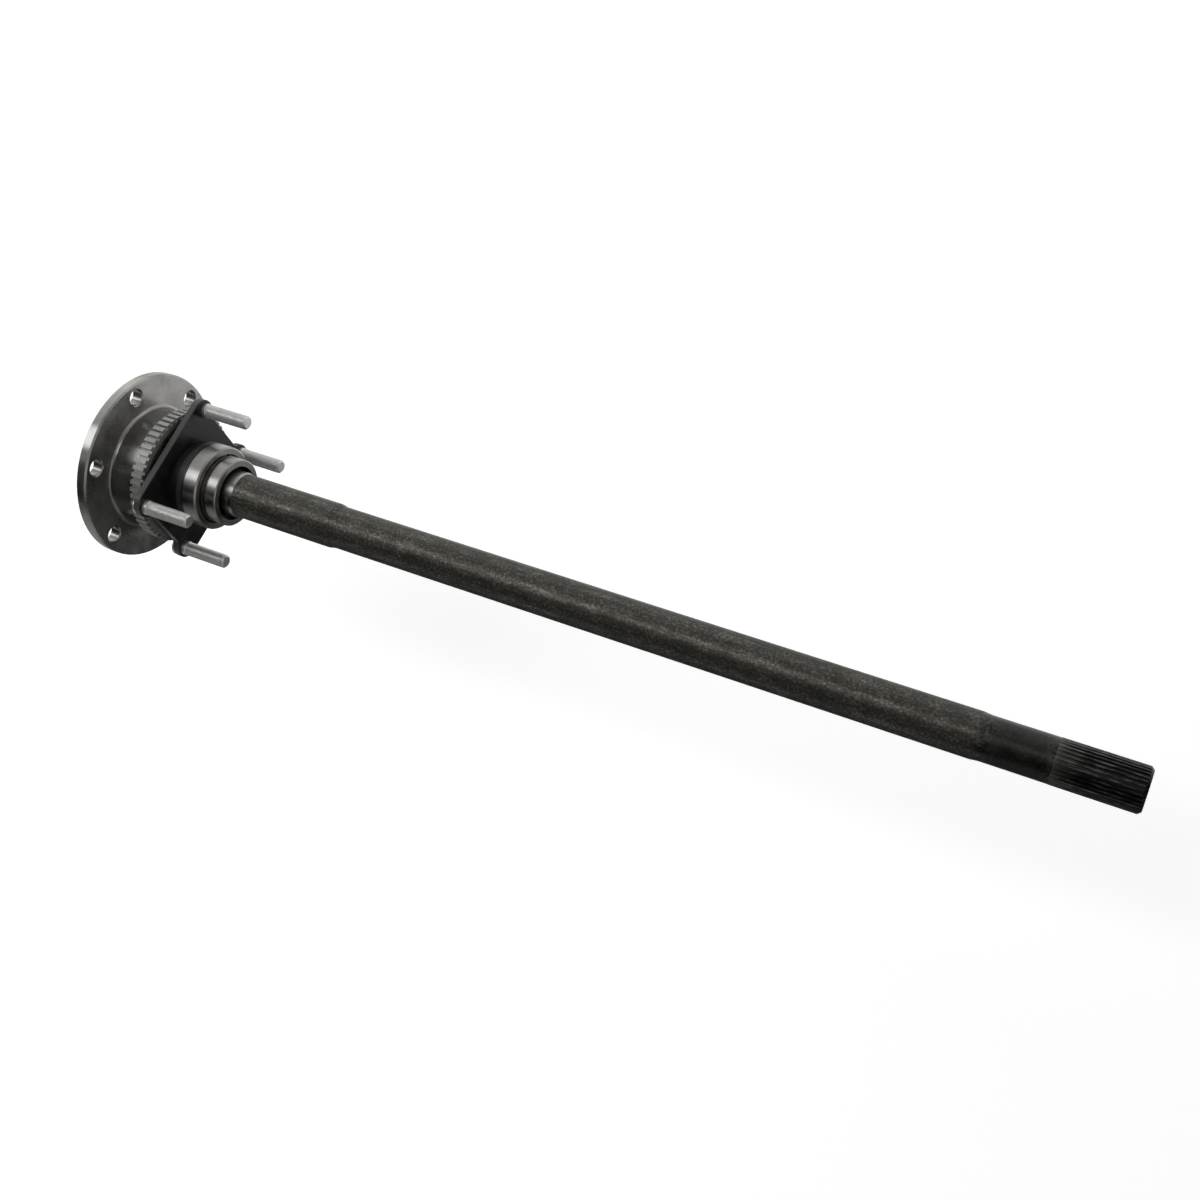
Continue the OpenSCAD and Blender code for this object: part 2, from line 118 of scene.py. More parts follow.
class AxleSizes(PropertyGroup):
    """Sizes of the finish zones and of the stud threads."""

    journal_end: FloatProperty(
        name="Journal end",
        description="Where the ground journal ends past the lock collar",
        default=COLLAR_END + 8.5 * MM,
        unit="LENGTH",
    )
    neck_start: FloatProperty(
        name="Neck start",
        description="Where the ramp down to the turned neck begins",
        default=0.7501,
        unit="LENGTH",
    )
    spline_start: FloatProperty(
        name="Spline start",
        description="Where the spline teeth begin",
        default=0.8051,
        unit="LENGTH",
    )
    spline_runout: FloatProperty(
        name="Spline run-out",
        description="Length over which the cutter leaves the spline gaps",
        default=9 * MM,
        unit="LENGTH",
    )
    fillet_end: FloatProperty(
        name="Fillet end",
        description="Where the rolled fillet at the hub's root ends",
        default=13.2 * MM,
        unit="LENGTH",
    )
    fillet_radius: FloatProperty(
        name="Fillet radius",
        description="Outer radius of the rolled fillet at the hub's root",
        default=55.6 * MM,
        unit="LENGTH",
    )
    flange_face: FloatProperty(
        name="Flange face",
        description="Where the inboard face of the flange stands",
        default=10.2 * MM,
        unit="LENGTH",
    )
    relief_radius: FloatProperty(
        name="Relief radius",
        description="Radius of the relief in the lock collar",
        default=23.9 * MM,
        unit="LENGTH",
    )
    spline_tip_radius: FloatProperty(
        name="Spline tip radius",
        description="Radius of the axle over its spline teeth",
        default=17.2 * MM,
        unit="LENGTH",
    )
    stud_radius: FloatProperty(
        name="Stud radius",
        description="Radius of a stud over its thread crests",
        default=6 * MM,
        unit="LENGTH",
    )
    shank_radius: FloatProperty(
        name="Shank radius",
        description="Radius of the plain shoulder above the plate",
        default=6.4 * MM,
        unit="LENGTH",
    )
    head_radius: FloatProperty(
        name="Head radius",
        description="Radius of a stud head behind the plate",
        default=8 * MM,
        unit="LENGTH",
    )
    shoulder_length: FloatProperty(
        name="Shoulder length",
        description="Length of the plain shoulder above the plate",
        default=4 * MM,
        unit="LENGTH",
    )
    stud_bevel: FloatProperty(
        name="Stud bevel",
        description="Bevel at the tip of a stud",
        default=1.5 * MM,
        unit="LENGTH",
    )
    edge_break: FloatProperty(
        name="Edge break",
        description="Small bevel on stud heads and shoulders",
        default=0.6 * MM,
        unit="LENGTH",
    )
    thread_pitch: FloatProperty(
        name="Thread pitch",
        description="Distance from one thread crest to the next",
        default=1.25 * MM,
        unit="LENGTH",
    )
    thread_steps: IntProperty(
        name="Thread steps",
        description="Number of flats in one turn of the thread",
        default=32,
        min=12,
    )


class AxleColours(PropertyGroup):
    """Colours of the bare, coated and oiled surfaces, and of the painted shade in the collar's relief."""

    turned_light: FloatVectorProperty(
        name="Turned steel",
        description="Clean lathe-turned steel of flange and hub",
        default=linear("#a5a4a1"),
        subtype="COLOR",
    )
    turned_dark: FloatVectorProperty(
        name="Turned steel, oiled",
        description="Turned steel under its film of rust oil",
        default=linear("#7d7c79"),
        subtype="COLOR",
    )
    hub: FloatVectorProperty(
        name="Hub barrel",
        description="Finely turned hub between flange and speed ring",
        default=linear("#7d7c79"),
        subtype="COLOR",
    )
    scale_dark: FloatVectorProperty(
        name="Forge scale, dark",
        description="Dense forge scale on the bar",
        default=linear("#292825"),
        subtype="COLOR",
    )
    scale_mid: FloatVectorProperty(
        name="Forge scale, middle",
        description="Usual tone of the forge scale",
        default=linear("#3e3d38"),
        subtype="COLOR",
    )
    scale_light: FloatVectorProperty(
        name="Forge scale, rubbed",
        description="Scale that handling has rubbed thin",
        default=linear("#6b6963"),
        subtype="COLOR",
    )
    ground: FloatVectorProperty(
        name="Ground steel",
        description="Ground and hardened steel of bearing rings and collar",
        default=linear("#92918e"),
        subtype="COLOR",
    )
    ring: FloatVectorProperty(
        name="Ring steel",
        description="Sintered steel of the speed ring",
        default=linear("#989896"),
        subtype="COLOR",
    )
    oiled: FloatVectorProperty(
        name="Oiled spline",
        description="Spline flanks under black rust oil",
        default=linear("#0e0e0d"),
        subtype="COLOR",
    )
    # Paler tips: bare steel where the oil ran off, and partly a painted glint
    tooth_tip: FloatVectorProperty(
        name="Spline tips",
        description="Tooth tips where the oil has run off",
        default=linear("#585856"),
        subtype="COLOR",
    )
    paint: FloatVectorProperty(
        name="Black paint",
        description="Dip paint on the retainer plate",
        default=linear("#0f0f0f"),
        subtype="COLOR",
    )
    # Lighter grey on the plate's side faces, all round
    edge: FloatVectorProperty(
        name="Sheared edge",
        description="Lighter grey on the retainer plate's side faces",
        default=linear("#3b3b39"),
        subtype="COLOR",
    )
    # Near black: the oiled neck's own colour, and painted shade in the collar's relief
    oil_black_and_painted_shade: FloatVectorProperty(
        name="Oily neck and painted shade",
        description="Oiled neck's near black, and painted shade in the collar's relief",
        default=linear("#141413"),
        subtype="COLOR",
    )
    zinc: FloatVectorProperty(
        name="Zinc flake",
        description="Matt zinc flake coat on the studs",
        default=linear("#d0d0ce"),
        subtype="COLOR",
    )
    rubber: FloatVectorProperty(
        name="Seal rubber",
        description="Nitrile rubber on the oil seal",
        default=linear("#111111"),
        subtype="COLOR",
    )


class StudioSettings(PropertyGroup):
    """Camera, floor, lamps and room."""

    camera_place: FloatVectorProperty(
        name="Camera place",
        description="Where the camera stands",
        default=(0.85237, -0.36866, 1.00552),
        subtype="TRANSLATION",
        unit="LENGTH",
    )
    camera_aim: FloatVectorProperty(
        name="Camera aim",
        description="Point in the middle of the picture",
        default=(0.44788, 0.00947, 0.0),
        subtype="TRANSLATION",
        unit="LENGTH",
    )
    camera_up: FloatVectorProperty(
        name="Camera up",
        description="Direction that points up in the picture",
        default=(-0.28831, 0.85229, 0.43644),
        subtype="DIRECTION",
    )
    lens: FloatProperty(
        name="Lens",
        description="Focal length in millimetres",
        default=44.277,
    )
    sensor: FloatProperty(
        name="Sensor",
        description="Width of the camera's sensor in millimetres",
        default=36.0,
    )
    floor_drop: FloatProperty(
        name="Floor drop",
        description="Height of the axle line above the floor",
        default=0.30,
        unit="LENGTH",
    )
    floor_colour: FloatVectorProperty(
        name="Floor colour",
        description="Matt white of the studio floor",
        default=linear("#e8e8e8"),
        subtype="COLOR",
    )
    floor_reach: FloatProperty(
        name="Floor reach",
        description="Half of the floor's side",
        default=40.0,
        unit="LENGTH",
    )
    glow_start: FloatProperty(
        name="Glow start",
        description="Distance at which the floor's own glow begins to rise",
        default=1.2,
        unit="LENGTH",
    )
    glow_end: FloatProperty(
        name="Glow end",
        description="Distance at which the floor's own glow is highest",
        default=4.0,
        unit="LENGTH",
    )
    glow_near: FloatProperty(
        name="Glow near the part",
        description="Strength of the floor's own glow around the part",
        default=0.52,
    )
    glow_far: FloatProperty(
        name="Glow far away",
        description="Strength of the floor's own glow far from the lamps",
        default=0.8,
    )
    lamp_aim: FloatVectorProperty(
        name="Lamp aim",
        description="Point that both softboxes face",
        default=(0.35, 0.0, 0.0),
        subtype="TRANSLATION",
        unit="LENGTH",
    )
    overhead_place: FloatVectorProperty(
        name="Overhead softbox place",
        description="Where the softbox above the axle hangs",
        default=(-0.35, -0.3, 1.6),
        subtype="TRANSLATION",
        unit="LENGTH",
    )
    overhead_size: FloatVectorProperty(
        name="Overhead softbox size",
        description="Length and width of the softbox above the axle",
        default=(2.1, 0.62),
        size=2,
        unit="LENGTH",
    )
    overhead_power: FloatProperty(
        name="Overhead softbox power",
        description="Power of the softbox above the axle, in watts",
        default=13.0,
    )
    rear_place: FloatVectorProperty(
        name="Rear softbox place",
        description="Where the softbox behind the axle hangs",
        default=(-0.4, 1.3, 1.2),
        subtype="TRANSLATION",
        unit="LENGTH",
    )
    rear_size: FloatVectorProperty(
        name="Rear softbox size",
        description="Length and width of the softbox behind the axle",
        default=(3.0, 2.4),
        size=2,
        unit="LENGTH",
    )
    rear_power: FloatProperty(
        name="Rear softbox power",
        description="Power of the softbox behind the axle, in watts",
        default=13.5,
    )
    ambient: FloatProperty(
        name="Room light",
        description="Brightness of the grey studio room",
        default=0.30,
    )
    wall_top: FloatProperty(
        name="Wall top",
        description="Sine of the highest look upwards that still shows a white wall",
        default=0.45,
    )
    wall_fade: FloatProperty(
        name="Wall fade",
        description="Sine of the lowest look upwards that shows the grey room alone",
        default=0.6,
    )


class Card(NamedTuple):
    """A flag or card of the studio, in metres from the floor below the origin."""

    name: str
    middle: tuple
    size: tuple
    tone: str
    hinge: str = ""
    glow: float = 0.0


# Dark and light sheets, seen only in reflections, that give the turned and ground steel its
# bands; the black and mid-grey sheets low under the part paint its shadow into those
# reflections, and the glowing white sheet paints a bright reflection; the hinge is the axis
# about which a standing flag is tilted up
CARDS = (
    Card("black_flag", middle=(-0.75, -1.9, 1.25), size=(5.5, 2.5), tone="#141414", hinge="X"),
    Card("grey_card", middle=(0.2, -0.855, 0.01), size=(3.2, 2.09), tone="#d2d2d2"),
    # Glowing white sheet: a painted bright reflection, no lamp
    Card("glowing_reflection_white_card", middle=(0.1, 0.33, 0.01), size=(0.6, 0.32), tone="#ffffff", glow=0.7),
    # Black sheet under the part: its painted shadow, as the metal mirrors it
    Card("painted_shadow_black_card", middle=(1.2, 0.08, 0.02), size=(2.5, 0.11), tone="#0c0c0c"),
    # Mid-grey sheet under the part: its painted shadow, as the metal mirrors it
    Card("painted_shadow_grey_card", middle=(1.2, -0.1625, 0.015), size=(2.6, 0.375), tone="#747474"),
    Card("end_flag", middle=(2.45, 0.0, 0.6), size=(1.2, 1.4), tone="#141414", hinge="Y"),
)


def along_and_out(tree):
    """Object place, distance along the axle and distance from its axis, as three sockets."""
    place = put(tree, "ShaderNodeTexCoord").outputs["Object"]
    split = put(tree, "ShaderNodeSeparateXYZ", {0: place})
    across = put(tree, "ShaderNodeCombineXYZ", {1: split.outputs["Y"], 2: split.outputs["Z"]})
    out = put(tree, "ShaderNodeVectorMath", {0: across.outputs[0]}, operation="LENGTH")
    return place, split.outputs["X"], out.outputs["Value"]


def lathe_grain(tree, place):
    """Direction of the tool marks: round the axle, turned with it."""
    around = put(tree, "ShaderNodeVectorMath", {0: (1, 0, 0), 1: place}, operation="CROSS_PRODUCT")
    turned = put(
        tree,
        "ShaderNodeVectorTransform",
        {0: around.outputs[0]},
        vector_type="VECTOR",
        convert_from="OBJECT",
        convert_to="WORLD",
    )
    return turned.outputs[0]


def turned_steel(colours):
    """Forged steel turned on a lathe and oiled: fan-shaped reflections across the
    fine ring-shaped tool marks, darker where the oil film lies thick."""
    material, tree = start_material("lathe_turned_forged_steel")
    place, along, out = along_and_out(tree)
    # Real feed marks are about 0.25 mm apart; 0.9 mm bands are the finest that show
    mark_pitch = 0.9 * MM
    mark_weight = 0.22
    film_size = 22 * MM
    path = put(tree, "ShaderNodeMath", {0: along, 1: out}, operation="ADD").outputs[0]
    marks = put(
        tree,
        "ShaderNodeTexNoise",
        {"W": path, "Scale": 1 / mark_pitch, "Detail": 2.0},
        noise_dimensions="1D",
    )
    film = put(tree, "ShaderNodeTexNoise", {"Vector": place, "Scale": 1 / film_size, "Detail": 3.0})
    tone = put(
        tree,
        "ShaderNodeMath",
        {0: marks.outputs["Fac"], 1: mark_weight, 2: film.outputs["Fac"]},
        operation="MULTIPLY_ADD",
    )
    share = put(
        tree,
        "ShaderNodeMapRange",
        {"Value": tone.outputs[0], "From Min": 0.4, "From Max": 0.85},
    )
    colour = put(
        tree,
        "ShaderNodeMix",
        {
            "Factor": share.outputs[0],
            "A": opaque(colours.turned_dark),
            "B": opaque(colours.turned_light),
        },
        data_type="RGBA",
    )
    gloss = put(
        tree,
        "ShaderNodeMapRange",
        {"Value": film.outputs["Fac"], "From Min": 0.3, "From Max": 0.7, "To Min": 0.24, "To Max": 0.31},
    )
    relief = put(
        tree,
        "ShaderNodeBump",
        {"Height": marks.outputs["Fac"], "Strength": 0.12, "Distance": 0.02 * MM},
    )
    shader = put(
        tree,
        "ShaderNodeBsdfPrincipled",
        {
            "Base Color": colour.outputs["Result"],
            "Metallic": 1.0,
            "Roughness": gloss.outputs[0],
            "Anisotropic": 0.9,
            "Anisotropic Rotation": 0.25,
            "Tangent": lathe_grain(tree, place),
            "Normal": relief.outputs[0],
        },
    )
    put(tree, "ShaderNodeOutputMaterial", {"Surface": shader.outputs[0]})
    return material


def forge_scale(colours):
    """Hot-forged bar with its oxide skin: dark, slightly warm, finely grained, with
    lighter streaks along the bar where handling rubbed the scale thin."""
    material, tree = start_material("forge_scaled_steel")
    place = put(tree, "ShaderNodeTexCoord").outputs["Object"]
    grain_weight = 3.0
    blotch_size = 14 * MM
    streak_length = 25 * MM
    streak_width = 2.5 * MM
    streak_weight = 1.2
    grain = put(
        tree,
        "ShaderNodeTexNoise",
        {"Vector": place, "Scale": 1 / SCALE_GRAIN, "Detail": 2.5, "Roughness": 0.6},
    )
    blotch = put(tree, "ShaderNodeTexNoise", {"Vector": place, "Scale": 1 / blotch_size, "Detail": 3.0})
    drawn = put(
        tree,
        "ShaderNodeMapping",
        {"Vector": place, "Scale": (1 / streak_length, 1 / streak_width, 1 / streak_width)},
        vector_type="POINT",
    )
    streak = put(tree, "ShaderNodeTexNoise", {"Vector": drawn.outputs[0], "Scale": 1.0, "Detail": 3.0})
    coarse = put(
        tree,
        "ShaderNodeMath",
        {0: streak.outputs["Fac"], 1: streak_weight, 2: blotch.outputs["Fac"]},
        operation="MULTIPLY_ADD",
    )
    mixed = put(
        tree,
        "ShaderNodeMath",
        {0: grain.outputs["Fac"], 1: grain_weight, 2: coarse.outputs[0]},
        operation="MULTIPLY_ADD",
    )
    tone = put(
        tree,
        "ShaderNodeMapRange",
        {"Value": mixed.outputs[0], "From Min": 1.6, "From Max": 3.6},
    )
    ramp = put(tree, "ShaderNodeValToRGB", {0: tone.outputs[0]})
    dense, rubbed = ramp.color_ramp.elements
    dense.position = 0.1
    dense.color = opaque(colours.scale_dark)
    rubbed.position = 0.95
    rubbed.color = opaque(colours.scale_light)
    usual = ramp.color_ramp.elements.new(0.5)
    usual.color = opaque(colours.scale_mid)
    gloss = put(
        tree,
        "ShaderNodeMapRange",
        {"Value": tone.outputs[0], "To Min": 0.4, "To Max": 0.28},
    )
    relief = put(
        tree,
        "ShaderNodeBump",
        {"Height": grain.outputs["Fac"], "Strength": 0.8, "Distance": 0.25 * MM},
    )
    shader = put(
        tree,
        "ShaderNodeBsdfPrincipled",
        {
            "Base Color": ramp.outputs["Color"],
            "Metallic": 0.5,
            "Roughness": gloss.outputs[0],
            "Specular Tint": (0.4, 0.4, 0.4, 1.0),
            "Normal": relief.outputs[0],
        },
    )
    put(tree, "ShaderNodeOutputMaterial", {"Surface": shader.outputs[0]})
    return material


def ground_steel(name, colour, gloss_low, gloss_high):
    """Hardened steel ground between centres: bright, with soft stripes of light along
    the axle and hair-fine rings round it."""
    material, tree = start_material(name)
    place, along, out = along_and_out(tree)
    # Grinding lines are far below 0.1 mm; 0.6 mm bands are the finest that show
    line_pitch = 0.6 * MM
    film_size = 9 * MM
    path = put(tree, "ShaderNodeMath", {0: along, 1: out}, operation="ADD").outputs[0]
    marks = put(
        tree,
        "ShaderNodeTexNoise",
        {"W": path, "Scale": 1 / line_pitch, "Detail": 2.0},
        noise_dimensions="1D",
    )
    film = put(tree, "ShaderNodeTexNoise", {"Vector": place, "Scale": 1 / film_size, "Detail": 2.0})
    shade = put(
        tree,
        "ShaderNodeMapRange",
        {"Value": marks.outputs["Fac"], "From Min": 0.3, "From Max": 0.7, "To Min": 0.82, "To Max": 1.0},
    )
    tint = put(
        tree,
        "ShaderNodeVectorMath",
        {0: tuple(colour), "Scale": shade.outputs[0]},
        operation="SCALE",
    )
    gloss = put(
        tree,
        "ShaderNodeMapRange",
        {
            "Value": film.outputs["Fac"],
            "From Min": 0.3,
            "From Max": 0.7,
            "To Min": gloss_low,
            "To Max": gloss_high,
        },
    )
    shader = put(
        tree,
        "ShaderNodeBsdfPrincipled",
        {
            "Base Color": tint.outputs[0],
            "Metallic": 1.0,
            "Roughness": gloss.outputs[0],
            "Anisotropic": 0.6,
            "Anisotropic Rotation": 0.25,
            "Tangent": lathe_grain(tree, place),
        },
    )
    put(tree, "ShaderNodeOutputMaterial", {"Surface": shader.outputs[0]})
    return material


def oiled_spline(colours, sizes):
    """Rolled spline under black rust oil: wet-looking dark flanks, and broken grey dashes on the
    tooth tips, bare where the oil has run off and partly painted glints."""
    material, tree = start_material("oiled_spline_steel")
    place, along, out = along_and_out(tree)
    film_size = 6 * MM
    dash_length = 8 * MM
    dash_width = 1.5 * MM
    wet_below_tip = 0.35 * MM
    dry_below_tip = 0.05 * MM
    film = put(tree, "ShaderNodeTexNoise", {"Vector": place, "Scale": 1 / film_size, "Detail": 3.0})
    tip = put(
        tree,
        "ShaderNodeMapRange",
        {
            "Value": out,
            "From Min": sizes.spline_tip_radius - wet_below_tip,
            "From Max": sizes.spline_tip_radius - dry_below_tip,
        },
    )
    drawn = put(
        tree,
        "ShaderNodeMapping",
        {"Vector": place, "Scale": (1 / dash_length, 1 / dash_width, 1 / dash_width)},
        vector_type="POINT",
    )
    wipe = put(tree, "ShaderNodeTexNoise", {"Vector": drawn.outputs[0], "Scale": 1.0, "Detail": 2.0})
    dash = put(
        tree,
        "ShaderNodeMapRange",
        {"Value": wipe.outputs["Fac"], "From Min": 0.42, "From Max": 0.68},
    )
    # Tips wiped dry in broken dashes, which also paint in the tips' glints
    bare = put(
        tree,
        "ShaderNodeMath",
        {0: tip.outputs[0], 1: dash.outputs[0]},
        operation="MULTIPLY",
    )
    colour = put(
        tree,
        "ShaderNodeMix",
        {
            "Factor": bare.outputs[0],
            "A": opaque(colours.oiled),
            "B": opaque(colours.tooth_tip),
        },
        data_type="RGBA",
    )
    dry = put(
        tree,
        "ShaderNodeMapRange",
        {
            "Value": along,
            "From Min": sizes.spline_start,
            "From Max": sizes.spline_start + 2 * sizes.spline_runout,
            "To Min": 0.7,
            "To Max": 0.0,
        },
    )
    smudge = put(
        tree,
        "ShaderNodeMix",
        {
            "Factor": film.outputs["Fac"],
            "A": opaque(colours.scale_dark),
            "B": opaque(colours.scale_light),
        },
        data_type="RGBA",
    )
    faded = put(
        tree,
        "ShaderNodeMix",
        {
            "Factor": dry.outputs[0],
            "A": colour.outputs["Result"],
            "B": smudge.outputs["Result"],
        },
        data_type="RGBA",
    )
    gloss = put(
        tree,
        "ShaderNodeMapRange",
        {"Value": film.outputs["Fac"], "From Min": 0.3, "From Max": 0.7, "To Min": 0.24, "To Max": 0.42},
    )
    shader = put(
        tree,
        "ShaderNodeBsdfPrincipled",
        {
            "Base Color": faded.outputs["Result"],
            "Metallic": 0.6,
            "Roughness": gloss.outputs[0],
        },
    )
    put(tree, "ShaderNodeOutputMaterial", {"Surface": shader.outputs[0]})
    return material


def oiled_neck(colours, sizes):
    """Neck turned before the spline and left under rust oil: smooth and near black, with
    pale grainy smudges where the ramp and the spline's start rubbed dry."""
    material, tree = start_material("oiled_neck_steel")
    place = put(tree, "ShaderNodeTexCoord").outputs["Object"]
    along = put(tree, "ShaderNodeSeparateXYZ", {0: place}).outputs["X"]
    cloud_size = 9 * MM
    grain_weight = 1.5
    cloud = put(tree, "ShaderNodeTexNoise", {"Vector": place, "Scale": 1 / cloud_size, "Detail": 4.0})
    grain = put(
        tree,
        "ShaderNodeTexNoise",
        {"Vector": place, "Scale": 1 / SCALE_GRAIN, "Detail": 2.5, "Roughness": 0.6},
    )
    ramp_end = put(
        tree,
        "ShaderNodeMapRange",
        {
            "Value": along,
            "From Min": sizes.neck_start,
            "From Max": sizes.neck_start + 2 * sizes.spline_runout,
            "To Min": 1.0,
            "To Max": 0.12,
        },
    )
    spline_end = put(
        tree,
        "ShaderNodeMapRange",
        {
            "Value": along,
            "From Min": sizes.spline_start - sizes.spline_runout,
            "From Max": sizes.spline_start,
            "To Min": 0.2,
            "To Max": 0.7,
        },
    )
    dry = put(
        tree,
        "ShaderNodeMath",
        {0: ramp_end.outputs[0], 1: spline_end.outputs[0]},
        operation="MAXIMUM",
    )
    worn = put(
        tree,
        "ShaderNodeMath",
        {0: grain.outputs["Fac"], 1: grain_weight, 2: cloud.outputs["Fac"]},
        operation="MULTIPLY_ADD",
    )
    smudge = put(
        tree,
        "ShaderNodeMapRange",
        {"Value": worn.outputs[0], "From Min": 1.05, "From Max": 1.9},
    )
    share = put(
        tree,
        "ShaderNodeMath",
        {0: smudge.outputs[0], 1: dry.outputs[0]},
        operation="MULTIPLY",
    )
    colour = put(
        tree,
        "ShaderNodeMix",
        {
            "Factor": share.outputs[0],
            "A": opaque(colours.oil_black_and_painted_shade),
            "B": opaque(colours.scale_light),
        },
        data_type="RGBA",
    )
    gloss = put(
        tree,
        "ShaderNodeMapRange",
        {"Value": cloud.outputs["Fac"], "From Min": 0.3, "From Max": 0.7, "To Min": 0.32, "To Max": 0.44},
    )
    shader = put(
        tree,
        "ShaderNodeBsdfPrincipled",
        {
            "Base Color": colour.outputs["Result"],
            "Metallic": 0.6,
            "Roughness": gloss.outputs[0],
        },
    )
    put(tree, "ShaderNodeOutputMaterial", {"Surface": shader.outputs[0]})
    return material


def sintered_steel(colours):
    """Pressed and sintered steel ring: even, matt light grey with fine pores."""
    material, tree = start_material("sintered_ring_steel")
    place = put(tree, "ShaderNodeTexCoord").outputs["Object"]
    # Real pores are about 0.1 mm wide; 0.7 mm is the finest that shows
    pore_size = 0.7 * MM
    pore_weight = 0.4
    film_size = 16 * MM
    pores = put(tree, "ShaderNodeTexNoise", {"Vector": place, "Scale": 1 / pore_size, "Detail": 2.0})
    film = put(tree, "ShaderNodeTexNoise", {"Vector": place, "Scale": 1 / film_size, "Detail": 2.0})
    tone = put(
        tree,
        "ShaderNodeMath",
        {0: pores.outputs["Fac"], 1: pore_weight, 2: film.outputs["Fac"]},
        operation="MULTIPLY_ADD",
    )
    shade = put(
        tree,
        "ShaderNodeMapRange",
        {"Value": tone.outputs[0], "From Min": 0.45, "From Max": 0.95, "To Min": 0.72, "To Max": 1.0},
    )
    tint = put(
        tree,
        "ShaderNodeVectorMath",
        {0: tuple(colours.ring), "Scale": shade.outputs[0]},
        operation="SCALE",
    )
    relief = put(
        tree,
        "ShaderNodeBump",
        {"Height": pores.outputs["Fac"], "Strength": 0.3, "Distance": 0.05 * MM},
    )
    shader = put(
        tree,
        "ShaderNodeBsdfPrincipled",
        {
            "Base Color": tint.outputs[0],
            "Metallic": 0.6,
            "Roughness": 0.5,
            "Normal": relief.outputs[0],
        },
    )
    put(tree, "ShaderNodeOutputMaterial", {"Surface": shader.outputs[0]})
    return material


def dip_paint(name, colour, dusty):
    """Black dip paint on stamped steel: satin, a little uneven like orange peel, and dusty grey
    here and there; with a lighter colour it gives the plate's lighter side faces."""
    material, tree = start_material(name)
    place = put(tree, "ShaderNodeTexCoord").outputs["Object"]
    peel_size = 2.2 * MM
    dust_size = 12 * MM
    peel = put(tree, "ShaderNodeTexNoise", {"Vector": place, "Scale": 1 / peel_size, "Detail": 2.0})
    dust = put(tree, "ShaderNodeTexNoise", {"Vector": place, "Scale": 1 / dust_size, "Detail": 4.0})
    share = put(
        tree,
        "ShaderNodeMapRange",
        {"Value": dust.outputs["Fac"], "From Min": 0.45, "From Max": 0.8, "To Min": 0.0, "To Max": 0.25},
    )
    coat = put(
        tree,
        "ShaderNodeMix",
        {
            "Factor": share.outputs[0],
            "A": opaque(colour),
            "B": opaque(dusty),
        },
        data_type="RGBA",
    )
    gloss = put(
        tree,
        "ShaderNodeMapRange",
        {"Value": dust.outputs["Fac"], "From Min": 0.3, "From Max": 0.7, "To Min": 0.33, "To Max": 0.48},
    )
    relief = put(
        tree,
        "ShaderNodeBump",
        {"Height": peel.outputs["Fac"], "Strength": 0.25, "Distance": 0.1 * MM},
    )
    shader = put(
        tree,
        "ShaderNodeBsdfPrincipled",
        {
            "Base Color": coat.outputs["Result"],
            "Roughness": gloss.outputs[0],
            "IOR": 1.5,
            "Specular IOR Level": 0.35,
            "Normal": relief.outputs[0],
        },
    )
    put(tree, "ShaderNodeOutputMaterial", {"Surface": shader.outputs[0]})
    return material


def zinc_flake(colours):
    """Zinc flake coat on the studs: matt silver grey, slightly cloudy."""
    material, tree = start_material("zinc_flake_coat")
    place = put(tree, "ShaderNodeTexCoord").outputs["Object"]
    # Real flakes are about 0.02 mm wide; 0.5 mm is the finest that shows
    flake_size = 0.5 * MM
    flake_weight = 0.35
    cloud_size = 5 * MM
    cloud = put(tree, "ShaderNodeTexNoise", {"Vector": place, "Scale": 1 / cloud_size, "Detail": 3.0})
    flake = put(tree, "ShaderNodeTexNoise", {"Vector": place, "Scale": 1 / flake_size, "Detail": 1.0})
    tone = put(
        tree,
        "ShaderNodeMath",
        {0: flake.outputs["Fac"], 1: flake_weight, 2: cloud.outputs["Fac"]},
        operation="MULTIPLY_ADD",
    )
    shade = put(
        tree,
        "ShaderNodeMapRange",
        {"Value": tone.outputs[0], "From Min": 0.4, "From Max": 0.95, "To Min": 0.8, "To Max": 1.0},
    )
    tint = put(
        tree,
        "ShaderNodeVectorMath",
        {0: tuple(colours.zinc), "Scale": shade.outputs[0]},
        operation="SCALE",
    )
    shader = put(
        tree,
        "ShaderNodeBsdfPrincipled",
        {"Base Color": tint.outputs[0], "Metallic": 0.85, "Roughness": 0.4},
    )
    put(tree, "ShaderNodeOutputMaterial", {"Surface": shader.outputs[0]})
    return material


def seal_rubber(name, colour, gloss):
    """Moulded nitrile rubber, as on the seal's lip and beaded case: near black, with a dull
    sheen that is cloudy where the rubber has bloomed."""
    material, tree = start_material(name)
    place = put(tree, "ShaderNodeTexCoord").outputs["Object"]
    bloom_size = 7 * MM
    bloom = put(tree, "ShaderNodeTexNoise", {"Vector": place, "Scale": 1 / bloom_size, "Detail": 3.0})
    shade = put(
        tree,
        "ShaderNodeMapRange",
        {"Value": bloom.outputs["Fac"], "From Min": 0.3, "From Max": 0.7, "To Min": 0.8, "To Max": 1.6},
    )
    tint = put(
        tree,
        "ShaderNodeVectorMath",
        {0: tuple(colour), "Scale": shade.outputs[0]},
        operation="SCALE",
    )
    shader = put(
        tree,
        "ShaderNodeBsdfPrincipled",
        {"Base Color": tint.outputs[0], "Roughness": gloss, "IOR": 1.5},
    )
    put(tree, "ShaderNodeOutputMaterial", {"Surface": shader.outputs[0]})
    return material


